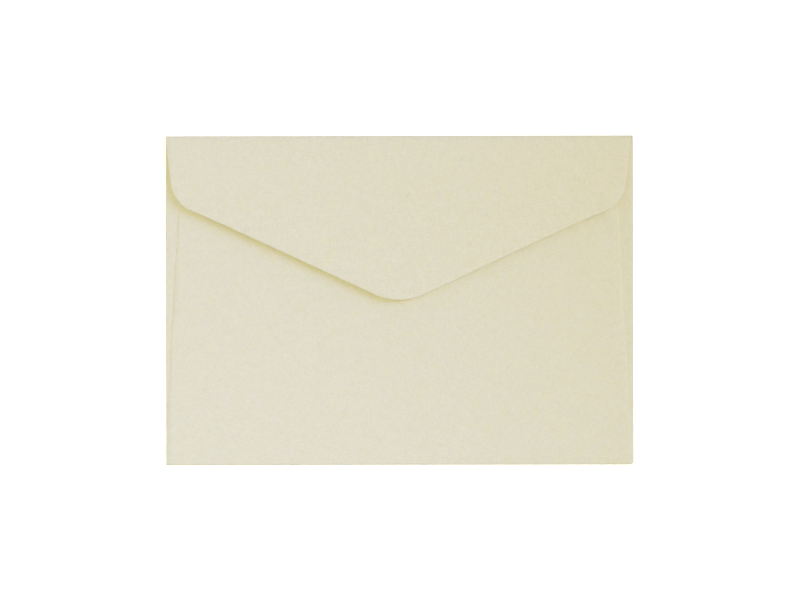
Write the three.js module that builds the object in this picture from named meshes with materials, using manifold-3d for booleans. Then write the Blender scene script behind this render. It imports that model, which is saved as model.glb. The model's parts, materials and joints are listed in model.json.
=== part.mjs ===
// A C6 envelope of cream paper, seen with its flap side up.
//
// One sheet is cut to a cross and creased along four lines. The side flaps fold in first, the bottom
// of the sheet folds up over them as the back panel and is glued to them, and the pointed seal flap
// folds down last. The flap isn't stuck, so its crease holds it a little open and it bows.
//
// Millimetres, +Z up. The envelope lies on its address face, with the origin under its middle, +X to
// the right and +Y towards the flap's crease. The panels and the creases between them are separate
// solids, which meet face to face where the sheet runs on.

import Module from "manifold-3d";
import * as THREE from "three";
import { mergeVertices } from "three/addons/utils/BufferGeometryUtils.js";

const wasm = await Module();
wasm.setup();

const degrees = THREE.MathUtils.degToRad;

// The closed envelope, and the sheet that it is folded from.
const WIDTH = 162;
const HEIGHT = 114;
const PAPER = 0.15;

// What keeps the layers apart: air in the pocket, dried glue in the seams, air under the flap.
const SIDE_FOLD_GAP = 0.5;
const GLUE = 0.05;
const FLAP_GAP = 0.3;

// The seal flap: its depth from the envelope's top edge to its tip, how its sides run in, how far
// it stands open, and how far it bows up from a straight line between its crease and its tip.
const FLAP_DEPTH = 56.9;
const FLAP_CORNER_INSET = 0.45;
const FLAP_SIDE_ANGLE = degrees(6.5);
const FLAP_POINT_ANGLE = degrees(24.7);
const SHOULDER_RADIUS = 10.3;
const TIP_RADIUS = 20.5;
const REST_ANGLE = degrees(2.2);
const BOW = 1.1;

// The gummed band along the flap's point, on the inside of the flap.
const GUM = 0.05;
const GUM_EDGE_INSET = 2.5;
const GUM_END_INSET = 12;
const GUM_WIDTH = 11;
const GUM_CORNER_RADIUS = 3;
const GUM_GAP = 0.02;

// The back panel: how far its top edge is below the envelope's, and how its sides run in.
const THROAT_DROP = 16;
const SEAM_ANGLE = degrees(3.2);
const THROAT_CORNER_RADIUS = 6;

// The side creases were folded a little off centre, which leaves the back panel and the seal flap
// this far to the left between them.
const FOLDING_DRIFT = 0.45;

// The side flaps, whose ends slope away from the creases at the bottom and the top.
const SIDE_FLAP_WIDTH = 18;
const SIDE_FLAP_RELIEF = 0.3;
const SIDE_FLAP_FOOT_ANGLE = degrees(30);
const SIDE_FLAP_HEAD_ANGLE = degrees(15);
const SIDE_FLAP_CORNER_RADIUS = 4;

// The line of glue along each edge of the back panel.
const SEAM_GLUE_INSET = 1.5;
const SEAM_GLUE_WIDTH = 8;

const ARC_STEPS = 16;
const CREASE_STEPS = 8;
const BOW_STEPS = 16;

// How far a cutter reaches past what it cuts.
const CUTTER_REACH = 10;

// The heights of the layers, from the address face up.
const SIDE_FLAP_Z = PAPER + SIDE_FOLD_GAP;
const SEAM_GLUE_Z = SIDE_FLAP_Z + PAPER;
const BACK_PANEL_Z = SEAM_GLUE_Z + GLUE;
const SEAL_FLAP_Z = BACK_PANEL_Z + PAPER + FLAP_GAP;

// A crease is half a ring, from the address face up to the outside of the layer that it carries.
const SIDE_CREASE_RADIUS = (SIDE_FLAP_Z + PAPER) / 2;
const BOTTOM_CREASE_RADIUS = (BACK_PANEL_Z + PAPER) / 2;
const TOP_CREASE_RADIUS = (SEAL_FLAP_Z + PAPER) / 2;

// Where the flat panels end and the creases begin.
const SIDE_X = WIDTH / 2 - SIDE_CREASE_RADIUS;
const BOTTOM_Y = -HEIGHT / 2 + BOTTOM_CREASE_RADIUS;
const TOP_Y = HEIGHT / 2 - TOP_CREASE_RADIUS;

const THROAT_Y = HEIGHT / 2 - THROAT_DROP;
const FLAP_HALF_WIDTH = WIDTH / 2 - FLAP_CORNER_INSET;
const SIDE_FLAP_BOTTOM = BOTTOM_Y + SIDE_FLAP_RELIEF;
const SIDE_FLAP_TOP = TOP_Y - SIDE_FLAP_RELIEF;

const paper = new THREE.MeshStandardMaterial({ color: 0xe0dbc6, roughness: 0.9, metalness: 0 });
const driedGlue = new THREE.MeshStandardMaterial({ color: 0xd8cda4, roughness: 0.45, metalness: 0 });
const gum = new THREE.MeshStandardMaterial({ color: 0xd9cfa6, roughness: 0.25, metalness: 0 });

const LEFT = -1;
const RIGHT = 1;

function named(name, geometry, material) {
  const mesh = new THREE.Mesh(geometry, material);
  mesh.name = name;
  return mesh;
}

// An outline through [x, y, radius] corners, each rounded by an arc that touches both its sides.
function roundedOutline(corners) {
  const outline = new THREE.Shape();
  corners.forEach(([x, y, radius = 0], i) => {
    const corner = new THREE.Vector2(x, y);
    const before = corners.at(i - 1);
    const after = corners[(i + 1) % corners.length];
    const arriving = corner.clone().sub(new THREE.Vector2(before[0], before[1])).normalize();
    const leaving = new THREE.Vector2(after[0], after[1]).sub(corner).normalize();
    const turn = Math.atan2(arriving.cross(leaving), arriving.dot(leaving));
    const start = corner.clone().addScaledVector(arriving, -radius * Math.tan(Math.abs(turn) / 2));
    if (i === 0) outline.moveTo(start.x, start.y);
    else outline.lineTo(start.x, start.y);
    if (radius === 0) return;
    const side = Math.sign(turn);
    const centre = new THREE.Vector2(-arriving.y, arriving.x).multiplyScalar(side * radius).add(start);
    const from = Math.atan2(start.y - centre.y, start.x - centre.x);
    outline.absarc(centre.x, centre.y, radius, from, from + turn, side < 0);
  });
  outline.closePath();
  return outline;
}

// A flat layer with its lower face at the given height.
function layer(name, corners, z, thickness, material) {
  const shape = roundedOutline(corners);
  const geometry = new THREE.ExtrudeGeometry(shape, {
    depth: thickness,
    bevelEnabled: false,
    curveSegments: ARC_STEPS,
  });
  const mesh = named(name, geometry, material);
  mesh.position.z = z;
  return mesh;
}

// Paper bent round a crease: part of a ring, from one angle below or above the level of its outermost
// line to another. Outward is the way it bulges, and length runs along outward x up.
function crease(name, outward, radius, from, to, length) {
  const section = new THREE.Shape();
  section.absarc(0, 0, radius, from, to, false);
  section.absarc(0, 0, radius - PAPER, to, from, true);
  const geometry = new THREE.ExtrudeGeometry(section, {
    depth: length,
    bevelEnabled: false,
    curveSegments: CREASE_STEPS,
  });
  const up = new THREE.Vector3(0, 0, 1);
  const along = outward.clone().cross(up);
  geometry.applyMatrix4(new THREE.Matrix4().makeBasis(outward, up, along));
  return named(name, geometry, paper);
}

// A closed mesh as a solid that can be cut.
function solid(geometry) {
  geometry.deleteAttribute("normal");
  geometry.deleteAttribute("uv");
  const merged = mergeVertices(geometry);
  const vertProperties = merged.getAttribute("position").array;
  const triVerts = Uint32Array.from(merged.index.array);
  return new wasm.Manifold(new wasm.Mesh({ numProp: 3, vertProperties, triVerts }));
}

// A cut solid as a mesh's geometry again.
function geometryOf(cutSolid) {
  const { vertProperties, triVerts } = cutSolid.getMesh();
  const geometry = new THREE.BufferGeometry();
  geometry.setAttribute("position", new THREE.BufferAttribute(vertProperties, 3));
  geometry.setIndex(new THREE.BufferAttribute(triVerts, 1));
  geometry.computeVertexNormals();
  return geometry;
}

const BELOW = -Math.PI / 2;
const OUTERMOST = 0;
const ABOVE = Math.PI / 2;

function frontPanel() {
  const corners = [
    [-SIDE_X, BOTTOM_Y],
    [SIDE_X, BOTTOM_Y],
    [SIDE_X, TOP_Y],
    [-SIDE_X, TOP_Y],
  ];
  return layer("front_panel", corners, 0, PAPER, paper);
}

// The x of the back panel's edge on one side at height y, which the glue follows too. Low on the
// left, where the drift would carry it past the envelope's side, it is trimmed flush.
function backPanelEdge(side, y) {
  const runIn = (y - BOTTOM_Y) * Math.tan(SEAM_ANGLE);
  const x = side * (WIDTH / 2 - runIn) - FOLDING_DRIFT;
  return Math.max(-WIDTH / 2, x);
}

function backPanel() {
  const driftRunsOut = BOTTOM_Y + FOLDING_DRIFT / Math.tan(SEAM_ANGLE);
  const corners = [
    [backPanelEdge(LEFT, BOTTOM_Y), BOTTOM_Y],
    [backPanelEdge(RIGHT, BOTTOM_Y), BOTTOM_Y],
    [backPanelEdge(RIGHT, THROAT_Y), THROAT_Y, THROAT_CORNER_RADIUS],
    [backPanelEdge(LEFT, THROAT_Y), THROAT_Y, THROAT_CORNER_RADIUS],
    [backPanelEdge(LEFT, driftRunsOut), driftRunsOut],
  ];
  return layer("back_panel", corners, BACK_PANEL_Z, PAPER, paper);
}

function bottomCrease() {
  const outward = new THREE.Vector3(0, -1, 0);
  const mesh = crease("bottom_crease", outward, BOTTOM_CREASE_RADIUS, BELOW, ABOVE, WIDTH);
  mesh.position.set(WIDTH / 2, BOTTOM_Y, BOTTOM_CREASE_RADIUS);
  return mesh;
}

function sideFlap(name, side) {
  const inner = side * (SIDE_X - SIDE_FLAP_WIDTH);
  const footRise = SIDE_FLAP_WIDTH * Math.tan(SIDE_FLAP_FOOT_ANGLE);
  const headDrop = SIDE_FLAP_WIDTH * Math.tan(SIDE_FLAP_HEAD_ANGLE);
  const corners = [
    [side * SIDE_X, SIDE_FLAP_BOTTOM],
    [inner, SIDE_FLAP_BOTTOM + footRise, SIDE_FLAP_CORNER_RADIUS],
    [inner, SIDE_FLAP_TOP - headDrop, SIDE_FLAP_CORNER_RADIUS],
    [side * SIDE_X, SIDE_FLAP_TOP],
  ];
  return layer(name, corners, SIDE_FLAP_Z, PAPER, paper);
}

function sideCrease(name, side) {
  const outward = new THREE.Vector3(side, 0, 0);
  const length = SIDE_FLAP_TOP - SIDE_FLAP_BOTTOM;
  const mesh = crease(name, outward, SIDE_CREASE_RADIUS, BELOW, ABOVE, length);
  const start = side === LEFT ? SIDE_FLAP_BOTTOM : SIDE_FLAP_TOP;
  mesh.position.set(side * SIDE_X, start, SIDE_CREASE_RADIUS);
  return mesh;
}

// The glue lies between a side flap and the back panel, where the side flap has its full width.
function seamGlue(name, side) {
  const low = SIDE_FLAP_BOTTOM + SIDE_FLAP_WIDTH * Math.tan(SIDE_FLAP_FOOT_ANGLE);
  const high = THROAT_Y - THROAT_CORNER_RADIUS;
  const outerAt = (y) => backPanelEdge(side, y) - side * SEAM_GLUE_INSET;
  const innerAt = (y) => outerAt(y) - side * SEAM_GLUE_WIDTH;
  const corners = [
    [outerAt(low), low],
    [outerAt(high), high],
    [innerAt(high), high],
    [innerAt(low), low],
  ];
  return layer(name, corners, SEAM_GLUE_Z, GLUE, driedGlue);
}

// The seal flap and the pocket's half of the top crease meet on the hinge line, which is the
// envelope's top edge: the outermost line of the crease, on the outside of the paper. The flap's
// own pieces are placed from that line, as if pressed shut, and the group is then turned open.
const HINGE_Y = HEIGHT / 2;
const HINGE_Z = TOP_CREASE_RADIUS;

function pocketTopCrease() {
  const outward = new THREE.Vector3(0, 1, 0);
  const mesh = crease("pocket_top_crease", outward, TOP_CREASE_RADIUS, BELOW, OUTERMOST, WIDTH);
  mesh.position.set(-WIDTH / 2, TOP_Y, TOP_CREASE_RADIUS);
  return mesh;
}

// The bow rises steeply from the crease, is highest a third of the way down, and runs out at the tip:
// u(1 - u)^2, scaled to 1 at its highest. It leaves the crease at the root angle, so the crease bends
// that much less than a half turn, and the flap starts where the middle of its paper ends.
const BOW_SCALE = 27 / 4;
const ROOT_ANGLE = Math.atan((BOW * BOW_SCALE) / FLAP_DEPTH);
const FLAP_FOLD_END = ABOVE - ROOT_ANGLE;
const FOLD_MIDDLE = TOP_CREASE_RADIUS - PAPER / 2;
const FLAP_ROOT_Y = TOP_Y - HINGE_Y + FOLD_MIDDLE * Math.cos(FLAP_FOLD_END);
const FLAP_ROOT_Z = TOP_CREASE_RADIUS - HINGE_Z + FOLD_MIDDLE * Math.sin(FLAP_FOLD_END);
const FLAP_RUN = FLAP_ROOT_Y + FLAP_DEPTH;

// The (y, z) of a point at a share u of the run down the flap, this far above the middle of its paper.
function bowPoint(u, above) {
  const rise = BOW * BOW_SCALE * u * (1 - u) ** 2;
  const climb = Math.atan(((BOW * BOW_SCALE) / FLAP_RUN) * (1 - u) * (1 - 3 * u));
  const y = FLAP_ROOT_Y - u * FLAP_RUN + above * Math.sin(climb);
  return new THREE.Vector2(y, FLAP_ROOT_Z + rise + above * Math.cos(climb));
}

// A layer of the bowed flap, from one distance above the middle of its paper to another: a band that
// follows the bow one step past the tip, cut from above to the outline of the corners. The corners
// are given about the flap's own middle, and the drift moves them.
function bowedLayer(name, corners, from, to, material) {
  const lower = [];
  const upper = [];
  for (let step = 0; step <= BOW_STEPS + 1; step++) {
    lower.push(bowPoint(step / BOW_STEPS, from));
    upper.unshift(bowPoint(step / BOW_STEPS, to));
  }
  const section = new THREE.Shape([...upper, ...lower]);
  const length = WIDTH + 2 * CUTTER_REACH;
  const band = new THREE.ExtrudeGeometry(section, { depth: length, bevelEnabled: false });
  const across = new THREE.Vector3(1, 0, 0);
  const down = new THREE.Vector3(0, 1, 0);
  const up = new THREE.Vector3(0, 0, 1);
  band.applyMatrix4(new THREE.Matrix4().makeBasis(down, up, across));
  band.translate(-length / 2, 0, 0);
  const cutter = new THREE.ExtrudeGeometry(roundedOutline(corners), {
    depth: 2 * CUTTER_REACH,
    bevelEnabled: false,
    curveSegments: ARC_STEPS,
  });
  cutter.translate(-FOLDING_DRIFT, 0, -CUTTER_REACH);
  return named(name, geometryOf(solid(band).intersect(solid(cutter))), material);
}

function flapTopCrease() {
  const outward = new THREE.Vector3(0, 1, 0);
  const length = 2 * FLAP_HALF_WIDTH;
  const radius = TOP_CREASE_RADIUS;
  const mesh = crease("flap_top_crease", outward, radius, OUTERMOST, FLAP_FOLD_END, length);
  const left = -FLAP_HALF_WIDTH - FOLDING_DRIFT;
  mesh.position.set(left, TOP_Y - HINGE_Y, TOP_CREASE_RADIUS - HINGE_Z);
  return mesh;
}

// The two edges of the flap's point would meet at this y, below its rounded tip.
const SHARP_TIP_Y = -FLAP_DEPTH - TIP_RADIUS * (1 / Math.cos(FLAP_POINT_ANGLE) - 1);

// The y at x on the line that runs beside an edge of the flap's point, the given distance inside.
function besidePoint(x, inset) {
  return SHARP_TIP_Y + inset / Math.cos(FLAP_POINT_ANGLE) + Math.abs(x) * Math.tan(FLAP_POINT_ANGLE);
}

// A side of the flap runs in from the crease, and meets an edge of the point at the shoulder.
const SIDE_RUN = Math.tan(FLAP_SIDE_ANGLE);
const POINT_RISE = Math.tan(FLAP_POINT_ANGLE);
const SHOULDER_X =
  (FLAP_HALF_WIDTH - (FLAP_ROOT_Y - SHARP_TIP_Y) * SIDE_RUN) / (1 - SIDE_RUN * POINT_RISE);

function sealFlap() {
  const shoulderY = besidePoint(SHOULDER_X, 0);
  const behindX = FLAP_HALF_WIDTH + CUTTER_REACH * SIDE_RUN;
  const behindY = FLAP_ROOT_Y + CUTTER_REACH;
  const corners = [
    [-behindX, behindY],
    [-SHOULDER_X, shoulderY, SHOULDER_RADIUS],
    [0, SHARP_TIP_Y, TIP_RADIUS],
    [SHOULDER_X, shoulderY, SHOULDER_RADIUS],
    [behindX, behindY],
  ];
  return bowedLayer("seal_flap", corners, -PAPER / 2, PAPER / 2, paper);
}

// The band keeps its width round the tip, as far as the tip's radius has room for it.
function flapGum() {
  const reach = SHOULDER_X - GUM_END_INSET;
  const outer = GUM_EDGE_INSET;
  const inner = outer + GUM_WIDTH;
  const corners = [
    [-reach, besidePoint(reach, outer), GUM_CORNER_RADIUS],
    [0, besidePoint(0, outer), Math.max(0, TIP_RADIUS - outer)],
    [reach, besidePoint(reach, outer), GUM_CORNER_RADIUS],
    [reach, besidePoint(reach, inner), GUM_CORNER_RADIUS],
    [0, besidePoint(0, inner), Math.max(0, TIP_RADIUS - inner)],
    [-reach, besidePoint(reach, inner), GUM_CORNER_RADIUS],
  ];
  const face = -PAPER / 2 - GUM_GAP;
  return bowedLayer("flap_gum", corners, face - GUM, face, gum);
}

const pocket = new THREE.Group();
pocket.add(
  frontPanel(),
  backPanel(),
  bottomCrease(),
  sideFlap("left_side_flap", LEFT),
  sideFlap("right_side_flap", RIGHT),
  sideCrease("left_crease", LEFT),
  sideCrease("right_crease", RIGHT),
  seamGlue("left_seam_glue", LEFT),
  seamGlue("right_seam_glue", RIGHT),
  pocketTopCrease(),
);

const flap = new THREE.Group();
flap.add(sealFlap(), flapTopCrease(), flapGum());
flap.position.set(0, HINGE_Y, HINGE_Z);
flap.rotation.x = -REST_ANGLE;

const envelope = new THREE.Group();
envelope.add(pocket, flap);

export default envelope;
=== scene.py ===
# %% [markdown]
# # A cream C6 envelope
#
# The photograph looks straight down on the back of an envelope. One sheet of cream paper was cut
# to a cross and creased: two narrow side flaps went in first, the back panel came up over them
# and was glued, and the pointed seal flap came down last. Nothing holds that flap shut, so it
# stands a little open and throws a soft shadow.
#
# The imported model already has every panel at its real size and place. This script dresses it.
# Each panel becomes a real sheet: it has the paper's thickness, round folds, slightly uneven cut
# edges and the mottled colour of cream stock.

# %% The frame, and the sizes that come from it
import json
import math

import bmesh
import bpy
from mathutils import Matrix, Vector


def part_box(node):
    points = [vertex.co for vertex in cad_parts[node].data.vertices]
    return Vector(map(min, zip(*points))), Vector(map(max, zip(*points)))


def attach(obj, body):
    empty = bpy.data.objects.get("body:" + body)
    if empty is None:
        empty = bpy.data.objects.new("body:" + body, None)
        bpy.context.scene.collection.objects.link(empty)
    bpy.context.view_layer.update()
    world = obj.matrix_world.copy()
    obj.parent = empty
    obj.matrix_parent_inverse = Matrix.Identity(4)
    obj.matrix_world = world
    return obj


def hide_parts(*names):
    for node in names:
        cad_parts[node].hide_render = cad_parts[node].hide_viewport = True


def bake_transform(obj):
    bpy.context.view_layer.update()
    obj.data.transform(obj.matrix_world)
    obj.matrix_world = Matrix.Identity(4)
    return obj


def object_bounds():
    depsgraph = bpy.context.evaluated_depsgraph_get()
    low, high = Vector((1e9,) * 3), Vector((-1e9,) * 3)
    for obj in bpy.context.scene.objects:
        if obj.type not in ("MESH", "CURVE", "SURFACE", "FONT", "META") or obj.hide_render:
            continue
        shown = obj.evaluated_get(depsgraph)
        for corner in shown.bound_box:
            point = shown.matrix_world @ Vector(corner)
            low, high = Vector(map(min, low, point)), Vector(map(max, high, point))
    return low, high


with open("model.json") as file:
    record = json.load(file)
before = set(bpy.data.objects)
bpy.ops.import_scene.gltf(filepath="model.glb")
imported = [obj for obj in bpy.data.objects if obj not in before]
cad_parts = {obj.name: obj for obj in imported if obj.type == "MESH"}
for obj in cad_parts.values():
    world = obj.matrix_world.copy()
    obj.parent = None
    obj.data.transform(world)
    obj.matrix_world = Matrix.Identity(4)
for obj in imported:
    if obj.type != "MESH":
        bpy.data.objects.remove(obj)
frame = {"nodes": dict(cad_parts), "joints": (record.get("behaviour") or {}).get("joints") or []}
cad_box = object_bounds()

MM = 0.001

panel_low, panel_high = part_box("front_panel")
back_low, back_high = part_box("back_panel")
side_low, side_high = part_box("right_side_flap")
gum_low, gum_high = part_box("flap_gum")

PAPER = panel_high.z - panel_low.z
HALF_WIDTH = cad_box[1].x
HALF_HEIGHT = cad_box[1].y
SIDE_X = panel_high.x
BOTTOM_Y = panel_low.y
TOP_Y = panel_high.y
THROAT_Y = back_high.y

flap_joint = frame["joints"][0]
HINGE = Vector(flap_joint["pos_m"])
REST_ANGLE = -math.radians(flap_joint["range_deg"][0])

print(f"the envelope is {2 * HALF_WIDTH / MM:.1f} x {2 * HALF_HEIGHT / MM:.1f} mm")
print(f"its paper is {PAPER / MM:.2f} mm thick")
print(f"the flap stands {math.degrees(REST_ANGLE):.1f} degrees open")

# %% [markdown]
# ## A few tools
#
# Blender's operators act on whatever is selected, and loading the model leaves all its nodes
# selected. So each step first deselects everything, takes one piece, and then picks vertices,
# edges or faces in it by where they are. An edge or a face counts as picked when all its corners
# pass the test.

# %% Picking a piece, and picking inside it
def take(piece):
    """Leaves object mode on, with this piece alone selected."""
    if bpy.context.object is not None and bpy.context.object.mode != "OBJECT":
        bpy.ops.object.mode_set(mode="OBJECT")
    bpy.ops.object.select_all(action="DESELECT")
    piece.select_set(True)
    bpy.context.view_layer.objects.active = piece


def edit(piece):
    """Opens this piece alone for editing, with nothing in it selected."""
    take(piece)
    bpy.ops.object.mode_set(mode="EDIT")
    bpy.ops.mesh.select_all(action="DESELECT")


def pick(piece, kind, passes):
    """Selects the vertices (VERT), edges (EDGE) or faces (FACE) whose corners all pass."""
    bpy.ops.mesh.select_mode(type=kind)
    bpy.ops.mesh.select_all(action="DESELECT")
    shape = bmesh.from_edit_mesh(piece.data)
    if kind == "VERT":
        for vertex in shape.verts:
            vertex.select = passes(vertex.co)
    else:
        for element in shape.edges if kind == "EDGE" else shape.faces:
            element.select = all(passes(vertex.co) for vertex in element.verts)
    shape.select_flush_mode()
    bmesh.update_edit_mesh(piece.data)


def apply(piece, modifier):
    """Makes the modifier's result the piece's own mesh."""
    take(piece)
    bpy.ops.object.modifier_apply(modifier=modifier.name)


def count(piece):
    """Says what was made."""
    print(f"{piece.name}: {len(piece.data.vertices)} vertices, {len(piece.data.polygons)} faces")


# %% [markdown]
# ## Working as a paper cutter does
#
# A sheet could be modelled as a thin box, but then its cut line is there twice and every fold is
# hard to bend. It is easier to cut and fold the middle of the paper, as a surface with no
# thickness, and to let the Solidify modifier add the thickness at the end.
#
# A panel starts as a plane. Bisect cuts it along straight lines, as a guillotine would, and a
# bevel on a corner's vertex rounds it, as a die would. More bisects divide it into cells, so that
# it can bend.

# %% Cutting a flat sheet
CELL = 2.5 * MM
ARC_SEGMENTS = 16
NEAR = 0.01 * MM
BOX_LOWEST = 0  # where Blender's list of a bounding box has its lowest and its highest corner
BOX_HIGHEST = 6


def rectangle(name, left, right, bottom, top, level):
    """The middle of a sheet of paper, lying flat at a level."""
    place = ((left + right) / 2, (bottom + top) / 2, level)
    bpy.ops.mesh.primitive_plane_add(size=1, location=place)
    piece = bpy.context.object
    piece.name = piece.data.name = name
    piece.scale = (right - left, top - bottom, 1)
    take(piece)
    bpy.ops.object.transform_apply(location=True, rotation=False, scale=True)
    edit(piece)
    return piece


def cut(point, across):
    """Cuts along the line through a point, and keeps both sides."""
    bpy.ops.mesh.select_all(action="SELECT")
    bpy.ops.mesh.bisect(plane_co=point, plane_no=across)


def trim(point, outward):
    """Cuts off what lies outward of the line through a point."""
    bpy.ops.mesh.select_all(action="SELECT")
    bpy.ops.mesh.bisect(plane_co=point, plane_no=outward, clear_outer=True)


def round_corner(piece, corner, radius, turn):
    """Rounds the corner at (x, y), where the outline turns by an angle.

    A bevel's profile of 0.5 is a true arc only at a right angle. This one passes through the middle
    of the true arc at any angle."""
    half = turn / 2
    place = Vector((corner[0], corner[1]))
    pick(piece, "VERT", lambda co: (co.xy - place).length < NEAR)
    bpy.ops.mesh.bevel(
        affect="VERTICES",
        offset=radius * math.tan(half),
        segments=ARC_SEGMENTS,
        profile=(1 - 0.5 / (1 + math.cos(half))) ** 2,
    )


def divide(piece):
    """Cuts the sheet into cells along both of its directions."""
    bpy.ops.object.mode_set(mode="OBJECT")
    low, high = Vector(piece.bound_box[BOX_LOWEST]), Vector(piece.bound_box[BOX_HIGHEST])
    bpy.ops.object.mode_set(mode="EDIT")
    for along in (Vector((1, 0, 0)), Vector((0, 1, 0))):
        start, end = low.dot(along), high.dot(along)
        cells = max(1, round((end - start) / CELL))
        for i in range(1, cells):
            cut(along * (start + (end - start) * i / cells) + Vector((0, 0, low.z)), along)


# %% [markdown]
# ## Folds, bends and thickness
#
# A fold is the sheet's edge spun round a line, which gives the half-round crease of thick paper.
# For a bend, a vertex group holds the share of its height that each vertex has, and the Displace
# modifier applies it. Then Solidify gives the sheet its thickness, half to each side.
#
# A die presses the paper's edge down as it cuts, and leaves it rounded. The rounding is only a
# quarter of the paper's thickness, yet it draws the thin bright and dark lines along the seams in
# the photograph, so a small Bevel makes it.

# %% Folding, bending and thickening a sheet
CREASE_STEPS = 12
CUT_ROUNDING = 0.04 * MM
CUT_ANGLE = math.radians(60)
SMOOTH_ANGLE = math.radians(35)


def fold(piece, passes, centre, axis, angle):
    """Spins the edges that pass round a line, clockwise for someone who looks against the axis."""
    pick(piece, "EDGE", passes)
    bpy.ops.mesh.spin(steps=CREASE_STEPS, angle=angle, center=centre, axis=axis)


def weigh(piece, name, share):
    """Puts each vertex's share, kept from 0 to 1, in a vertex group."""
    group = piece.vertex_groups.new(name=name)
    for vertex in piece.data.vertices:
        group.add([vertex.index], min(1, max(0, share(vertex.co))), "REPLACE")
    return group.name


def bend(piece, share, rise, direction="Z"):
    """Lifts each vertex by its share of the rise, or moves it that far in another direction."""
    take(piece)
    modifier = piece.modifiers.new("bend", "DISPLACE")
    modifier.direction = direction
    modifier.vertex_group = weigh(piece, "bend", share)
    modifier.mid_level = 0
    modifier.strength = rise
    apply(piece, modifier)


def thicken(piece, thickness):
    """Turns the middle of the sheet into the sheet, half of the thickness to each side."""
    edit(piece)
    bpy.ops.mesh.select_all(action="SELECT")
    bpy.ops.mesh.remove_doubles(threshold=NEAR)
    bpy.ops.mesh.normals_make_consistent(inside=False)
    take(piece)
    modifier = piece.modifiers.new("thickness", "SOLIDIFY")
    modifier.thickness = thickness
    modifier.offset = 0
    modifier.use_even_offset = True
    apply(piece, modifier)
    edit(piece)
    bpy.ops.mesh.select_all(action="SELECT")
    bpy.ops.mesh.normals_make_consistent(inside=False)
    take(piece)


def round_cut(piece):
    """Rolls the cut edges over a little, as a die leaves them, so that they catch the light."""
    take(piece)
    modifier = piece.modifiers.new("cut", "BEVEL")
    modifier.width = CUT_ROUNDING
    modifier.segments = 2
    modifier.limit_method = "ANGLE"
    modifier.angle_limit = CUT_ANGLE
    apply(piece, modifier)


def smooth(piece):
    """Shades the bends smoothly and keeps the cut edges crisp."""
    take(piece)
    bpy.ops.object.shade_smooth_by_angle(angle=SMOOTH_ANGLE)
    piece.vertex_groups.clear()
    count(piece)


# %% [markdown]
# ## The front panel
#
# The address side lies face down. Nothing of it shows in the photograph, but it shows when the
# flap is open, and from below. It is the one panel that the table keeps flat, so a rectangle with
# a thickness is all that it takes.

# %% Front panel
front = rectangle("front_sheet", -SIDE_X, SIDE_X, BOTTOM_Y, TOP_Y, PAPER / 2)
divide(front)
thicken(front, PAPER)
smooth(front)

# %% [markdown]
# ## The side flaps
#
# They fold in first, under the back panel. Only a sliver of each shows, between the back panel's
# edge and the envelope's side. Each is modelled with its crease: the outer edge of the flap is
# spun half a turn down to the front panel. At both ends the crease is a tenth of a millimetre
# longer than the panels beside it, which closes the corners of the pocket.

# %% Side flaps
SIDE_FOOT_ANGLE = math.radians(30)
SIDE_HEAD_ANGLE = math.radians(15)
SIDE_CORNER_RADIUS = 4 * MM
CORNER_LAP = 0.1 * MM
SIDE_LEVEL = (side_low.z + side_high.z) / 2
SIDE_CREASE_MIDDLE = side_high.z / 2


def side_flap(name, side):
    """One side flap, for the left (-1) or right (1), from its crease to its inner edge."""
    inner, outer = side_low.x, side_high.x
    bottom, top = BOTTOM_Y - CORNER_LAP, TOP_Y + CORNER_LAP
    left, right = sorted((side * inner, side * outer))
    piece = rectangle(name, left, right, bottom, top, SIDE_LEVEL)
    foot = Vector((side * -math.sin(SIDE_FOOT_ANGLE), -math.cos(SIDE_FOOT_ANGLE), 0))
    head = Vector((side * -math.sin(SIDE_HEAD_ANGLE), math.cos(SIDE_HEAD_ANGLE), 0))
    trim((side * outer, bottom, SIDE_LEVEL), foot)
    trim((side * outer, top, SIDE_LEVEL), head)
    depth = outer - inner
    foot_corner = (side * inner, bottom + depth * math.tan(SIDE_FOOT_ANGLE))
    head_corner = (side * inner, top - depth * math.tan(SIDE_HEAD_ANGLE))
    round_corner(piece, foot_corner, SIDE_CORNER_RADIUS, math.pi / 2 - SIDE_FOOT_ANGLE)
    round_corner(piece, head_corner, SIDE_CORNER_RADIUS, math.pi / 2 - SIDE_HEAD_ANGLE)
    divide(piece)
    centre = (side * outer, 0, SIDE_CREASE_MIDDLE)
    fold(piece, lambda co: abs(co.x - side * outer) < NEAR, centre, (0, -side, 0), math.pi)
    thicken(piece, PAPER)
    smooth(piece)
    return piece


left_side = side_flap("left_side_sheet", -1)
right_side = side_flap("right_side_sheet", 1)

# %% [markdown]
# ## The back panel
#
# The bottom of the sheet comes up over the side flaps. It has the envelope's full width at the
# bottom and narrows upwards. The side creases were folded about half a millimetre off centre, so
# the back panel and the flap sit a little to the left between them, which the photograph shows by
# the widths of the two slivers beside them. The bottom crease is spun from the panel's bottom
# edge.
#
# The panel isn't flat. It is a little plump between its seams, because the pocket holds some air,
# and the glue has drawn its edges down on the side flaps, which keeps the seam lines as faint as
# they are in the photograph.

# %% Back panel
SEAM_ANGLE = math.radians(3.2)
THROAT_RADIUS = 6 * MM
DRIFT = 0.45 * MM
BACK_LEVEL = (back_low.z + back_high.z) / 2
BOTTOM_CREASE_MIDDLE = back_high.z / 2
PILLOW = 0.2 * MM
PILLOW_POWER = 0.7
PRESSED = 0.03 * MM


def seam_x(side, y):
    """Where the back panel's edge is at height y."""
    return side * (HALF_WIDTH - (y - BOTTOM_Y) * math.tan(SEAM_ANGLE)) - DRIFT


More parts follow.
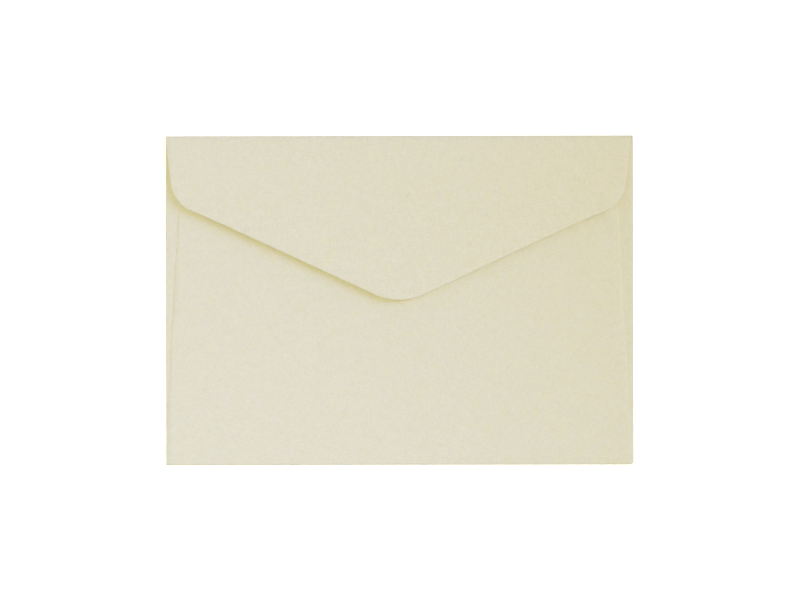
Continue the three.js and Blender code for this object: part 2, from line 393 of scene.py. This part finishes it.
back = rectangle("back_sheet", -HALF_WIDTH, HALF_WIDTH, BOTTOM_Y, THROAT_Y, BACK_LEVEL)
for side in (-1, 1):
    seam_outward = Vector((side * math.cos(SEAM_ANGLE), math.sin(SEAM_ANGLE), 0))
    trim((seam_x(side, BOTTOM_Y), BOTTOM_Y, BACK_LEVEL), seam_outward)
for side in (-1, 1):
    throat_corner = (seam_x(side, THROAT_Y), THROAT_Y)
    round_corner(back, throat_corner, THROAT_RADIUS, math.pi / 2 - SEAM_ANGLE)
divide(back)
fold(
    back,
    lambda co: abs(co.y - BOTTOM_Y) < NEAR,
    (0, BOTTOM_Y, BOTTOM_CREASE_MIDDLE),
    (-1, 0, 0),
    math.pi,
)


def pillow(co):
    """The pocket is a little plump between its glued seams, and most of all towards its mouth."""
    if co.y < BOTTOM_Y:
        return 0
    across = math.cos(math.pi / 2 * min(1, abs(co.x) / side_low.x))
    upwards = min(1, (co.y - BOTTOM_Y) / (THROAT_Y - BOTTOM_Y))
    return across * upwards**PILLOW_POWER


def glued_edge(co):
    """1 for the cut edges beside the seams, 0 elsewhere."""
    out, edge = abs(co.x + DRIFT), abs(seam_x(1, co.y) + DRIFT)
    return 1 if co.y > BOTTOM_Y + CELL and out > edge - NEAR else 0


bend(back, pillow, PILLOW)
bend(back, glued_edge, -PRESSED)
thicken(back, PAPER)
round_cut(back)
smooth(back)

# %% [markdown]
# ## The seal flap
#
# The flap is what the photograph is about: nearly straight sides that run in a little, round
# shoulders and a wide point with a rounded tip. It is cut flat as if it were pressed shut, bent,
# and then turned open on the hinge line by the angle at which it stands.
#
# It doesn't lie flat. It leaves the crease at a slope, is highest a third of the way down and
# settles towards the tip, so its shadow is nearly as wide at the shoulders as at the point. The
# curve u(1 - u)^2 does that, where u runs from 0 at the crease to 1 at the tip. Its peak is 4/27,
# so it is scaled by 27/4. The crease has to run on into that curve, so it bends a little less
# than half a turn.

# %% The flap's bow
FLAP_DEPTH = 56.9 * MM
BOW = 1.1 * MM
PEAK_SCALE = 27 / 4

root_angle = math.atan(BOW * PEAK_SCALE / FLAP_DEPTH)
fold_middle = HINGE.z - PAPER / 2
ROOT_Y = TOP_Y + fold_middle * math.sin(root_angle)
ROOT_LEVEL = HINGE.z + fold_middle * math.cos(root_angle)
FLAP_RUN = ROOT_Y - (HINGE.y - FLAP_DEPTH)
print(f"the flap leaves its crease at {math.degrees(root_angle):.1f} degrees")


def bow(co):
    """The share of its full rise that the flap has here."""
    u = (ROOT_Y - co.y) / FLAP_RUN
    return PEAK_SCALE * u * (1 - u) ** 2


# %% [markdown]
# The corners of the flap follow from its depth and its angles, so they are worked out here once
# and used again for the band of gum. The left shoulder is a little rounder than the right one.

# %% Flap outline
FLAP_INSET = 0.45 * MM
FLAP_SIDE_ANGLE = math.radians(6.5)
POINT_ANGLE = math.radians(24.7)
SHOULDER_RADII = {-1: 11.5 * MM, 1: 10.3 * MM}
TIP_RADIUS = 20.5 * MM
FLAP_HALF_WIDTH = HALF_WIDTH - FLAP_INSET

SHARP_TIP_Y = HINGE.y - FLAP_DEPTH - TIP_RADIUS * (1 / math.cos(POINT_ANGLE) - 1)


def point_y(x, inset):
    """The y at x of the line that runs beside an edge of the point, that far inside it."""
    return SHARP_TIP_Y + inset / math.cos(POINT_ANGLE) + abs(x) * math.tan(POINT_ANGLE)


def out_of_point(side):
    """The direction straight out of the point's edge, on the left (-1) or the right (1)."""
    return Vector((side * math.sin(POINT_ANGLE), -math.cos(POINT_ANGLE), 0))


side_run = math.tan(FLAP_SIDE_ANGLE)
SHOULDER_X = (FLAP_HALF_WIDTH - (ROOT_Y - SHARP_TIP_Y) * side_run) / (
    1 - side_run * math.tan(POINT_ANGLE)
)
SHOULDER_Y = point_y(SHOULDER_X, 0)
print(f"the shoulders are {(HALF_HEIGHT - SHOULDER_Y) / MM:.1f} mm below the top edge")

# %% [markdown]
# The die's knife isn't quite straight along the point: each edge is a little hollow, by less than
# a quarter of a millimetre, and swells where it meets the shoulder, the right one most. The curve
# u^2(1 - u) gives the hollow, with the same scale as the bow. The left side runs in a little more
# than the right one, and the point leans a little to the right.
#
# Bisect and bevel make only straight lines and arcs, so the sheet is then stretched a little
# along y or x: all the way at the point's edge and not at all at the crease. Each swelling has
# its place and its reach, as shares of the way out to the shoulder, and its height.

# %% The uneven cut
HOLLOW = 0.22 * MM
SWELLINGS = ((-0.93, 0.05, 0.2 * MM), (0.93, 0.05, 0.2 * MM), (0.885, 0.09, 0.26 * MM))
LEFT_LEAN = 0.25 * MM
LEFT_LEAN_POWER = 16
POINT_LEAN = 0.24 * MM


def stretched(co):
    """How much of a move at the point's edge is passed on to this place."""
    return (ROOT_Y - co.y) / (ROOT_Y - point_y(co.x, 0))


def hollow(co):
    """The share of the hollow, which is deepest two thirds of the way out to the shoulder."""
    out = min(1, abs(co.x) / SHOULDER_X)
    return PEAK_SCALE * out**2 * (1 - out) * stretched(co)


def swelling(place, reach):
    """Makes the function that gives the share of one swelling."""

    def share(co):
        off = (co.x / SHOULDER_X - place) / reach
        return (1 - off * off) * stretched(co)

    return share


def left_lean(co):
    """The share of the left side's lean: none at the crease, all of it beside the shoulder."""
    near_side = min(1, max(0, -co.x) / SHOULDER_X) ** LEFT_LEAN_POWER
    return near_side * (ROOT_Y - co.y) / (ROOT_Y - SHOULDER_Y)


def point_lean(co):
    """The share of the point's lean: none at the shoulders, all of it at the tip."""
    return (1 - (co.x / SHOULDER_X) ** 2) * stretched(co)


# %% [markdown]
# Now the flap itself: a rectangle is trimmed to its four slanting edges, the three corners are
# rounded, and the sheet is divided, bent, thickened and turned open.

# %% Flap
def open_flap(piece):
    """Moves a piece of the flap by the drift, and turns it open about the hinge, as it stands."""
    take(piece)
    turn = Matrix.Rotation(-REST_ANGLE, 4, "X")
    to_hinge = Matrix.Translation(-HINGE - Vector((DRIFT, 0, 0)))
    piece.matrix_world = Matrix.Translation(HINGE) @ turn @ to_hinge
    bpy.ops.object.transform_apply(location=True, rotation=True, scale=True)


flap = rectangle("flap_sheet", -FLAP_HALF_WIDTH, FLAP_HALF_WIDTH, SHARP_TIP_Y, ROOT_Y, ROOT_LEVEL)
for side in (-1, 1):
    side_outward = Vector((side * math.cos(FLAP_SIDE_ANGLE), -math.sin(FLAP_SIDE_ANGLE), 0))
    trim((side * FLAP_HALF_WIDTH, ROOT_Y, ROOT_LEVEL), side_outward)
    trim((0, SHARP_TIP_Y, ROOT_LEVEL), out_of_point(side))
shoulder_turn = math.pi / 2 - POINT_ANGLE - FLAP_SIDE_ANGLE
for side in (-1, 1):
    round_corner(flap, (side * SHOULDER_X, SHOULDER_Y), SHOULDER_RADII[side], shoulder_turn)
round_corner(flap, (0, SHARP_TIP_Y), TIP_RADIUS, 2 * POINT_ANGLE)
divide(flap)
bend(flap, hollow, HOLLOW, "Y")
for place, reach, rise in SWELLINGS:
    bend(flap, swelling(place, reach), -rise, "Y")
bend(flap, left_lean, LEFT_LEAN, "X")
bend(flap, point_lean, POINT_LEAN, "X")
bend(flap, bow, BOW)
thicken(flap, PAPER)
round_cut(flap)
open_flap(flap)
smooth(flap)

# %% [markdown]
# ## The band of gum
#
# Seen only when the flap is open: a thin, slightly glossy film along the inside of the point. A
# rectangle is trimmed along the band's outer line, cut along its inner one, and what lies inside
# that is deleted. The band is bent and turned open in the same way as the flap that carries it.

# %% Gum
GUM_EDGE_INSET = 2.5 * MM
GUM_WIDTH = 11 * MM
GUM_CORNER_RADIUS = 3 * MM
GUM_REACH = (gum_high.x - gum_low.x) / 2
GUM = 0.05 * MM
GUM_GAP = 0.02 * MM
GUM_LEVEL = ROOT_LEVEL - PAPER / 2 - GUM_GAP - GUM / 2
gum_outer = GUM_EDGE_INSET
gum_inner = GUM_EDGE_INSET + GUM_WIDTH

outer_tip_y, inner_tip_y = point_y(0, gum_outer), point_y(0, gum_inner)
outer_end_y, inner_end_y = point_y(GUM_REACH, gum_outer), point_y(GUM_REACH, gum_inner)

gum_band = rectangle("gum_band", -GUM_REACH, GUM_REACH, outer_tip_y, inner_end_y, GUM_LEVEL)
for side in (-1, 1):
    trim((0, outer_tip_y, GUM_LEVEL), out_of_point(side))
for side in (-1, 1):
    cut((0, inner_tip_y, GUM_LEVEL), out_of_point(side))
pick(gum_band, "FACE", lambda co: co.y > point_y(co.x, gum_inner) - NEAR)
bpy.ops.mesh.delete(type="FACE")
bpy.ops.mesh.select_all(action="SELECT")
bpy.ops.mesh.dissolve_faces()
end_turn = math.pi / 2 - POINT_ANGLE
for side in (-1, 1):
    round_corner(gum_band, (side * GUM_REACH, outer_end_y), GUM_CORNER_RADIUS, end_turn)
    round_corner(gum_band, (side * GUM_REACH, inner_end_y), GUM_CORNER_RADIUS, math.pi - end_turn)
round_corner(gum_band, (0, outer_tip_y), TIP_RADIUS - gum_outer, 2 * POINT_ANGLE)
round_corner(gum_band, (0, inner_tip_y), TIP_RADIUS - gum_inner, 2 * POINT_ANGLE)
divide(gum_band)
bend(gum_band, bow, BOW)
thicken(gum_band, GUM)
open_flap(gum_band)
smooth(gum_band)

# %% [markdown]
# ## The top crease
#
# The crease carries the flap, and on the envelope it bends when the flap turns. It is a thin strip
# spun nearly half a turn, from a starting cell that is deleted again. Its ends are trimmed to a
# slant, because the flap is a little narrower than the envelope and drifts to the left. Then its
# upper half is turned open with the flap, so that at rest it runs on smoothly into both panels.

# %% Top crease
crease_start = PAPER / 2
crease = rectangle("top_crease_strip", -HALF_WIDTH, HALF_WIDTH, TOP_Y - CELL, TOP_Y, crease_start)
divide(crease)
fold(
    crease,
    lambda co: abs(co.y - TOP_Y) < NEAR,
    (0, TOP_Y, HINGE.z),
    (-1, 0, 0),
    math.pi - root_angle,
)
pick(crease, "FACE", lambda co: co.z < crease_start + NEAR)
bpy.ops.mesh.delete(type="FACE")
for side in (-1, 1):
    lean = math.atan2(FLAP_INSET + side * DRIFT, ROOT_LEVEL - crease_start)
    outward = Vector((side * math.cos(lean), 0, math.sin(lean)))
    trim((side * HALF_WIDTH, TOP_Y, crease_start), outward)
thicken(crease, PAPER)
for vertex in crease.data.vertices:
    if vertex.co.z > HINGE.z + NEAR:
        vertex.co = HINGE + Matrix.Rotation(-REST_ANGLE, 3, "X") @ (vertex.co - HINGE)
smooth(crease)

# %% [markdown]
# ## Materials
#
# The paper's maths is long when each Math node is made by hand. This class wraps a socket, so
# that adding and multiplying write those nodes. One method makes every other node.
#
# A Mix node has sockets for numbers, vectors and colours at once, under the same names. So its
# colour sockets are called by their numbers.

# %% A socket that can be calculated with
MIX_FIRST = 6
MIX_SECOND = 7
MIX_COLOUR = 2


class Wire:
    """A value on its way through a material. Its method node() adds a node to the same material."""

    def __init__(self, socket):
        self.socket = socket
        self.tree = socket.id_data

    def node(self, kind, settings=None, inputs=None, output=0):
        """A new node: its settings first, then the values or wires of its sockets."""
        made = self.tree.nodes.new(kind)
        for name, value in (settings or {}).items():
            setattr(made, name, value)
        for socket, value in (inputs or {}).items():
            if isinstance(value, Wire):
                self.tree.links.new(value.socket, made.inputs[socket])
            else:
                made.inputs[socket].default_value = value
        return Wire(made.outputs[output])

    def math(self, operation, first, second=0.0):
        """A Math node between two values or wires."""
        return self.node("ShaderNodeMath", {"operation": operation}, {0: first, 1: second})

    def highest(self, other):
        """The higher one of two values."""
        return self.math("MAXIMUM", self, other)

    def __add__(self, other):
        return self.math("ADD", self, other)

    def __sub__(self, other):
        return self.math("SUBTRACT", self, other)

    def __rsub__(self, other):
        return self.math("SUBTRACT", other, self)

    def __mul__(self, other):
        return self.math("MULTIPLY", self, other)

    def __truediv__(self, other):
        return self.math("DIVIDE", self, other)

    def __rtruediv__(self, other):
        return self.math("DIVIDE", other, self)

    def __abs__(self):
        return self.math("ABSOLUTE", self)

    __radd__ = __add__
    __rmul__ = __mul__

    def step(self, low, high):
        """0 below low, 1 above high and a soft step between."""
        return self.node(
            "ShaderNodeMapRange",
            {"interpolation_type": "SMOOTHSTEP"},
            {"Value": self, "From Min": low, "From Max": high},
        )

    def tinted(self, tint, amount):
        """This colour with an amount of the tint added to it."""
        return self.node(
            "ShaderNodeVectorMath", {"operation": "MULTIPLY_ADD"}, {0: tint, 1: amount, 2: self}
        )

    def scaled(self, amount):
        """This colour, made brighter or darker."""
        scaling = {"operation": "SCALE"}
        return self.node("ShaderNodeVectorMath", scaling, {0: self, "Scale": amount})

    def mixed(self, first, second):
        """The first colour where this value is 0, the second where it is 1."""
        return self.node(
            "ShaderNodeMix",
            {"data_type": "RGBA"},
            {"Factor": self, MIX_FIRST: first, MIX_SECOND: second},
            output=MIX_COLOUR,
        )

    def component(self, axis):
        """The X, Y or Z of a place."""
        return self.node("ShaderNodeSeparateXYZ", None, {"Vector": self}, output=axis)

    def noise(self, scale, detail=2.0, roughness=0.5, distortion=0.0):
        """Soft noise that runs from about 0.3 to 0.7, on this wire's coordinates."""
        inputs = {
            "Vector": self,
            "Scale": scale,
            "Detail": detail,
            "Roughness": roughness,
            "Distortion": distortion,
        }
        return self.node("ShaderNodeTexNoise", None, inputs)


# %% [markdown]
# Every material starts in the same way, with the piece's own coordinates, which stay with it when
# it moves, and ends in the same way, with a colour, a roughness and a bump.

# %% The start and the end of a material
PER_MM = (1 / MM, 1 / MM, 1 / MM)
BUMP_DEPTH = 0.05 * MM
NOISE_MIDDLE = 0.5


def new_material(name):
    """A material, its Principled shader, and a wire with the piece's own coordinates."""
    material = bpy.data.materials.new(name)
    material.use_nodes = True
    shader = material.node_tree.nodes["Principled BSDF"]
    coordinates = material.node_tree.nodes.new("ShaderNodeTexCoord")
    return material, shader, Wire(coordinates.outputs["Object"])


def in_millimetres(place):
    """The same coordinates in millimetres."""
    return place.node("ShaderNodeMapping", None, {"Vector": place, "Scale": PER_MM})


def feed(shader, colour, roughness, height, strength):
    """Links the shader's colour and roughness, and a bump of this height and strength."""
    bump = {"Height": height, "Strength": strength, "Distance": BUMP_DEPTH}
    normal = height.node("ShaderNodeBump", None, bump)
    for socket, wire in (("Base Color", colour), ("Roughness", roughness), ("Normal", normal)):
        wire.tree.links.new(wire.socket, shader.inputs[socket])


# %% [markdown]
# ## The paper
#
# Cream stock is not one colour. Zoomed in, the photograph shows a fine grain of fibres that lie
# along and across the sheet, soft blots a few millimetres wide that are yellower or pinker than
# the rest, curved hair-like fibres a little darker, and here and there a speck. All of it is
# faint: at arm's length the sheet looks even. It could be painted, but noises at the right scales
# give the same mixture on any sheet. Their scales are in waves per millimetre.
#
# The fibres are one noise drawn out along the sheet and one across it.

# %% Grain, fibres and clouds
GRAIN_SCALE = 2.4
GRAIN_TONE = 0.12
FIBRE_SCALE = 1.0
LYING = (0.5, 3.0, 1)
STANDING = (3.0, 0.5, 1)
FIBRE_TONE = 0.10
CLOUD_SCALE = 0.35
CLOUD_TONE = 0.04


def fibres(mm):
    """Fine fibres along and across the sheet, around 0."""
    lying = mm.node("ShaderNodeMapping", None, {"Vector": mm, "Scale": LYING})
    standing = mm.node("ShaderNodeMapping", None, {"Vector": mm, "Scale": STANDING})
    both = lying.noise(FIBRE_SCALE, detail=1) + standing.noise(FIBRE_SCALE, detail=1)
    return both - 2 * NOISE_MIDDLE


def tone(mm, grain):
    """How bright the paper is here, around 1."""
    clouds = mm.noise(CLOUD_SCALE, detail=2)
    lightness = 1 + (grain - NOISE_MIDDLE) * GRAIN_TONE + fibres(mm) * FIBRE_TONE
    return lightness + (clouds - NOISE_MIDDLE) * CLOUD_TONE


# %% [markdown]
# The hairs are the contour lines of a noise: where it is close to one value, it draws thin curved
# lines, and a second noise keeps only short stretches of them. For the specks there is a texture
# of wide cells that gives the distance to the middle of the nearest one. Each middle is a speck.

# %% Hairs and specks
HAIR_FIELD_SCALE = 0.30
HAIR_DISTORTION = 0.5
HAIR_HALF_WIDTH = 0.006
HAIR_EDGE = (0.3, 1.0)
STRETCH_SCALE = 0.45
STRETCH_EDGE = (0.54, 0.60)
SPECK_SCALE = 0.13
SPECK_EDGE = (0.010, 0.022)


def hairs(mm):
    """1 on the curved hairs, 0 elsewhere."""
    field = mm.noise(HAIR_FIELD_SCALE, detail=1, distortion=HAIR_DISTORTION)
    line = 1 - (abs(field - NOISE_MIDDLE) / HAIR_HALF_WIDTH).step(*HAIR_EDGE)
    return line * mm.noise(STRETCH_SCALE, detail=0).step(*STRETCH_EDGE)


def specks(mm):
    """1 on the specks, 0 elsewhere."""
    distance = mm.node("ShaderNodeTexVoronoi", None, {"Vector": mm, "Scale": SPECK_SCALE})
    return 1 - distance.step(*SPECK_EDGE)


# %% [markdown]
# Two slower changes run over the whole envelope, and both are painted light and shade. The sheet is
# painted yellower and darker towards its right and its top, as painted shade for the light falling
# off across it, and the side folds are painted paler and bluer, for the bluish light that their
# curved faces miss.

# %% Painted shading and painted light on the folds
SHADING_SPAN = 100
SHADING_CURVE = 0.42
SHADING_UPWARDS = 0.8


def painted_shading(mm_place):
    """How much painted shade the sheet has here, around 0 in the middle of the envelope."""
    across = mm_place.component("X") / SHADING_SPAN
    upwards = mm_place.component("Y") / SHADING_SPAN
    return across + across * across * SHADING_CURVE + upwards * SHADING_UPWARDS


# Painted light: the side folds are painted paler and bluer, for the bluish light that their curved
# faces miss.
def painted_fold_light(mm_place):
    """The share of painted light: 0 on the panels, rising to 1 round the side folds."""
    return abs(mm_place.component("X")).step(SIDE_X / MM, HALF_WIDTH / MM)


# %% [markdown]
# Now the colour is put together, as one cream that the marks darken and the tints shift. Each
# blot is a noise around 0, so it shifts the colour both ways and leaves the cream as the middle.
# The side flaps are the same paper as the rest, with painted light and shade: the left one is
# painted a little paler and the right one deeper, standing in for how the light falls on them.

# %% The colour of the paper
CREAM = (0.752, 0.717, 0.576, 1)
# Painted light: the left side flap's cream is painted a little paler.
PAINTED_LIGHT_CREAM = (0.759, 0.722, 0.587, 1)
# Painted shade: the right side flap's cream is painted deeper.
SHADED_CREAM = (0.738, 0.711, 0.556, 1)
FIBRE = (0.560, 0.510, 0.330, 1)
HAIR_DEPTH = 0.30
SPECK_DEPTH = 0.35
YELLOW_TINT = (-0.01, -0.015, -0.16)
PINK_TINT = (0.022, -0.022, 0.0)
# Painted shade: the sheet is painted yellower and darker towards its right and its top.
PAINTED_SHADE_TINT = (-0.026, -0.036, -0.073)
# Painted light on the side folds: paler and bluer.
FOLD_LIGHT_TINT = (-0.02, 0.005, 0.085)
BLOT_SCALE = 0.45
BLOT_SHARE = 0.6
SMALL_BLOT_SCALE = 1.5
SMALL_BLOT_SHARE = 0.25
BLUSH_SCALE = 0.42


def paper_colour(mm_place, mm, grain, hair, cream):
    """The cream with all its marks and its painted light and shade, from the envelope's own place
    and the panel's shifted one.
    """
    blots = mm.noise(BLOT_SCALE, detail=1, roughness=0.6) - NOISE_MIDDLE
    small_blots = mm.noise(SMALL_BLOT_SCALE, detail=1) - NOISE_MIDDLE
    blushes = mm.noise(BLUSH_SCALE, detail=2, roughness=0.6) - NOISE_MIDDLE
    marks = (hair * HAIR_DEPTH + specks(mm) * SPECK_DEPTH).step(0, 1)
    return (
        marks.mixed(cream, FIBRE)
        .tinted(YELLOW_TINT, blots * BLOT_SHARE + small_blots * SMALL_BLOT_SHARE)
        .tinted(PINK_TINT, blushes)
        # painted shade across the sheet
        .tinted(PAINTED_SHADE_TINT, painted_shading(mm_place))
        # painted light on the side folds
        .tinted(FOLD_LIGHT_TINT, painted_fold_light(mm_place))
        .scaled(tone(mm, grain))
    )


# %% [markdown]
# The surface is matt, with a tooth that just catches the light. A fine noise, the grain and the
# hairs make it, as a faint bump of at most a few hundredths of a millimetre.
#
# Two panels that lie on each other must not share a pattern, or it would run on across the edge
# of the upper one. So each panel's pattern is shifted by more than the width of the envelope.

# %% Paper
TOOTH_SCALE = 5.5
TOOTH_HEIGHT = 0.7
GRAIN_HEIGHT = 0.5
HAIR_HEIGHT = 0.15
PAPER_BUMP = 0.10
PAPER_ROUGHNESS = 0.84
ROUGHNESS_SPREAD = 0.12
PAPER_SPECULAR = 0.25
PATTERN_SHIFT = 210


def paper(name, panel, cream=CREAM):
    """Cream paper, with a pattern of its own for each panel's number."""
    material, shader, place = new_material(name)
    mm_place = in_millimetres(place)
    shift = {"Vector": mm_place, "Location": (panel * PATTERN_SHIFT, 0, 0)}
    mm = mm_place.node("ShaderNodeMapping", None, shift)
    grain = mm.noise(GRAIN_SCALE, detail=1)
    hair = hairs(mm)
    tooth = mm.noise(TOOTH_SCALE, detail=3, roughness=0.65)

    colour = paper_colour(mm_place, mm, grain, hair, cream)
    height = tooth * TOOTH_HEIGHT + grain * GRAIN_HEIGHT + hair * HAIR_HEIGHT
    roughness = PAPER_ROUGHNESS + (grain - NOISE_MIDDLE) * ROUGHNESS_SPREAD
    feed(shader, colour, roughness, height, PAPER_BUMP)
    shader.inputs["Specular IOR Level"].default_value = PAPER_SPECULAR
    print(f"{name}: {len(material.node_tree.nodes)} nodes")
    return material


# %% [markdown]
# ## Gum and dried glue
#
# Both are thin films of something like dextrin: yellower than the paper and smoother. They dried
# unevenly, so they have paler and deeper pools, and fine ripples. One function makes both,
# because they differ only in their gloss.

# %% Gum and glue
GUM_PALE = (0.715, 0.660, 0.470, 1)
GUM_DEEP = (0.660, 0.590, 0.370, 1)
GUM_ROUGHNESS = 0.34
GLUE_ROUGHNESS = 0.5
MIDDLE_DEPTH = 0.5
POOL_SCALE = 0.18
POOL_TINT = 2.4
POOL_GLOSS = 0.3
RIPPLE_SCALE = 1.4
RIPPLE_TINT = 0.8
FILM_BUMP = 0.15


def film(name, roughness):
    """A dried film over paper, smoother than the paper and a little uneven."""
    material, shader, place = new_material(name)
    mm = in_millimetres(place)
    pools = mm.noise(POOL_SCALE, detail=3)
    ripples = mm.noise(RIPPLE_SCALE, detail=2)
    pool, ripple = pools - NOISE_MIDDLE, ripples - NOISE_MIDDLE
    depth = MIDDLE_DEPTH + pool * POOL_TINT + ripple * RIPPLE_TINT
    colour = depth.step(0, 1).mixed(GUM_PALE, GUM_DEEP)
    feed(shader, colour, roughness + pool * POOL_GLOSS, ripples + pools, FILM_BUMP)
    print(f"{name}: {len(material.node_tree.nodes)} nodes")
    return material


# %% [markdown]
# ## Every piece on its body
#
# Each piece stands for the nodes that it was built over, takes its material, and rides on the
# pocket or on the flap. The crease rides on neither: it stays where it was made. The two lines of
# seam glue keep the imported model's own shapes and only get a finish.

# %% Dressing
def dress(piece, material, slot, body, *nodes):
    """Gives a piece its material, its body and the nodes that it stands for."""
    piece.data.materials.clear()
    piece.data.materials.append(material)
    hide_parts(*nodes)
    if body:
        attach(piece, body)
    print(f"{piece.name}: {material.name}, stands for {', '.join(nodes)}")


dress(front, paper("front_paper", 0), "paper", "pocket", "front_panel")
# The side flaps take creams with painted light and painted shade.
left_paper = paper("left_side_paper", 1, PAINTED_LIGHT_CREAM)
dress(left_side, left_paper, "paper", "pocket", "left_side_flap", "left_crease")
right_paper = paper("right_side_paper", 2, SHADED_CREAM)
dress(right_side, right_paper, "paper", "pocket", "right_side_flap", "right_crease")
dress(back, paper("back_paper", 3), "paper", "pocket", "back_panel", "bottom_crease")

flap_paper = paper("flap_paper", 4)
dress(flap, flap_paper, "paper", "flap", "seal_flap")
dress(gum_band, film("gum", GUM_ROUGHNESS), "gum", "flap", "flap_gum")

dress(crease, flap_paper, "paper", None, "pocket_top_crease", "flap_top_crease")
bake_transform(crease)

dried_glue = film("dried_glue", GLUE_ROUGHNESS)
for node in ("left_seam_glue", "right_seam_glue"):
    line_of_glue = frame["nodes"][node]
    line_of_glue.data.materials.clear()
    line_of_glue.data.materials.append(dried_glue)

# %% [markdown]
# ## The table
#
# The photograph is cut out on pure white. A white floor that is lit like the envelope would come
# out a little grey, so its material adds a small glow that only the camera and reflections see.
# It still takes the soft shadow of the paper. Further out the glow grows until the floor is as
# white as the background, so that a low view shows no horizon.

# %% Table
FLOOR_SIZE = 6
FLOOR_DROP = 0.1 * MM
FLOOR_GREY = (0.86, 0.86, 0.86, 1)
BLACK = (0, 0, 0, 1)
WHITE = (1, 1, 1, 1)
FLOOR_GLOW = 0.40
GLOW_GROWS = 0.3
GLOW_IS_FULL = 1.2

bpy.ops.mesh.primitive_plane_add(size=FLOOR_SIZE, location=(0, 0, -FLOOR_DROP))
floor = bpy.context.object
floor.name = "table"


def seen(wire):
    """1 for the rays that carry the picture: from the camera, in mirrors and through glass."""
    camera_ray = wire.node("ShaderNodeLightPath", output="Is Camera Ray")
    glossy_ray = wire.node("ShaderNodeLightPath", output="Is Glossy Ray")
    transmission_ray = wire.node("ShaderNodeLightPath", output="Is Transmission Ray")
    return camera_ray.highest(glossy_ray.highest(transmission_ray))


floor_material, floor_shader, floor_place = new_material("white_table")
floor_shader.inputs["Base Color"].default_value = FLOOR_GREY
floor_shader.inputs["Roughness"].default_value = 1
floor_shader.inputs["Specular IOR Level"].default_value = 0
floor_shader.inputs["Emission Strength"].default_value = 1

length = {"operation": "LENGTH"}
distance = floor_place.node("ShaderNodeVectorMath", length, {0: floor_place}, output=1)
growth = distance.step(GLOW_GROWS, GLOW_IS_FULL)
glow = (seen(floor_place) * (FLOOR_GLOW + growth * (1 - FLOOR_GLOW))).mixed(BLACK, WHITE)
floor_material.node_tree.links.new(glow.socket, floor_shader.inputs["Emission Color"])
floor.data.materials.append(floor_material)
print(f"the table is {FLOOR_DROP / MM:.1f} mm below the envelope")

# %% [markdown]
# ## The light
#
# The envelope's shadow tells how it was lit. It is yellow, so the light that reaches into it is
# yellow and the light that it blocks is bluer. It is deep and sharp under the left of the flap
# and faint under the right, so the blocked light comes from the right, and it is wide along the
# left edge and narrow at the tip, as a tall, narrow lamp makes it.
#
# So there are three lights, whose colours add up to white on level paper, which then renders
# about as its colour is written: a pale blue sky all round, a tall bluish lamp on the right and a
# yellowish one overhead. The sky is neutral near the horizon, or upright edges would look blue
# from the side.

# %% Sky
ZENITH = (0.48, 0.60, 1.03, 1)
HORIZON = (0.72, 0.71, 0.68, 1)
HORIZON_END = 0.1
ZENITH_START = 0.6
SKY_LEVEL = 0.60

world = bpy.data.worlds.new("studio")
bpy.context.scene.world = world
world.use_nodes = True
background = world.node_tree.nodes["Background"]
direction = Wire(world.node_tree.nodes.new("ShaderNodeTexCoord").outputs["Generated"])
sky = direction.component("Z").step(HORIZON_END, ZENITH_START).mixed(HORIZON, ZENITH)
in_picture = seen(direction)
white_or_sky = in_picture.mixed(sky, WHITE)
strength = SKY_LEVEL + in_picture * (1 - SKY_LEVEL)
world.node_tree.links.new(white_or_sky.socket, background.inputs["Color"])
world.node_tree.links.new(strength.socket, background.inputs["Strength"])

# %% [markdown]
# A lamp's power says little about how bright the paper gets. So the power is worked out from the
# lamp's distance and elevation, such that its colour is also what it adds to level white paper.

# %% Lamps
KEY_COLOUR = (0.12, 0.146, 0.343)
OVERHEAD_COLOUR = (0.573, 0.484, 0.066)


def soft_box(name, azimuth, elevation, distance, size, colour):
    """A lamp that is aimed at the envelope and adds its colour to level white paper."""
    azimuth, elevation = math.radians(azimuth), math.radians(elevation)
    level = math.cos(elevation)
    towards = Vector((math.cos(azimuth) * level, math.sin(azimuth) * level, math.sin(elevation)))
    lamp = bpy.data.lights.new(name, "AREA")
    lamp.shape = "RECTANGLE"
    lamp.size, lamp.size_y = size
    lamp.color = colour
    lamp.energy = math.pi**2 * distance**2 / math.sin(elevation)
    box = bpy.data.objects.new(name, lamp)
    bpy.context.scene.collection.objects.link(box)
    box.location = towards * distance
    box.rotation_euler = towards.to_track_quat("Z", "Y").to_euler()
    print(f"lamp {name}: {lamp.energy:.0f} W at {distance} m")


soft_box("key", azimuth=20, elevation=37.5, distance=3.0, size=(0.8, 2.2), colour=KEY_COLOUR)
soft_box(
    "overhead",
    azimuth=270,
    elevation=89.9,
    distance=2.0,
    size=(0.3, 0.3),
    colour=OVERHEAD_COLOUR,
)

# %% [markdown]
# ## The camera
#
# The camera hangs straight over the envelope. Its height follows from the scale of the
# photograph, measured at the level of the back panel. Its place follows from where the middle of
# the envelope is in the picture, and its small roll from the lean of the envelope's edges.

# %% Camera
PIXELS_PER_MM = 2.8865
PHOTO_WIDTH = 800
PHOTO_HEIGHT = 600
LENS = 85
SENSOR = 36
FAR = 10
ROLL = math.radians(-0.1)
CENTRE_X = 399.75
CENTRE_Y = 300.3

field = PHOTO_WIDTH / PIXELS_PER_MM * MM
camera_data = bpy.data.cameras.new("camera")
camera_data.lens = LENS
camera_data.sensor_width = SENSOR
camera_data.clip_end = FAR
camera = bpy.data.objects.new("camera", camera_data)
bpy.context.scene.collection.objects.link(camera)
camera.location = (
    (PHOTO_WIDTH / 2 - CENTRE_X) / PIXELS_PER_MM * MM,
    (CENTRE_Y - PHOTO_HEIGHT / 2) / PIXELS_PER_MM * MM,
    field * LENS / SENSOR + back_high.z,
)
camera.rotation_euler = (0, 0, ROLL)
bpy.context.scene.camera = camera
bpy.context.scene.view_settings.view_transform = "Standard"
print(f"the camera is {camera.location.z / MM:.0f} mm above the table")

# %% [markdown]
# ## The end
#
# The last cell writes the size of the imported model.

# %% The size, and the end
print("CAD box in mm", [[round(v / MM, 2) for v in corner] for corner in cad_box])
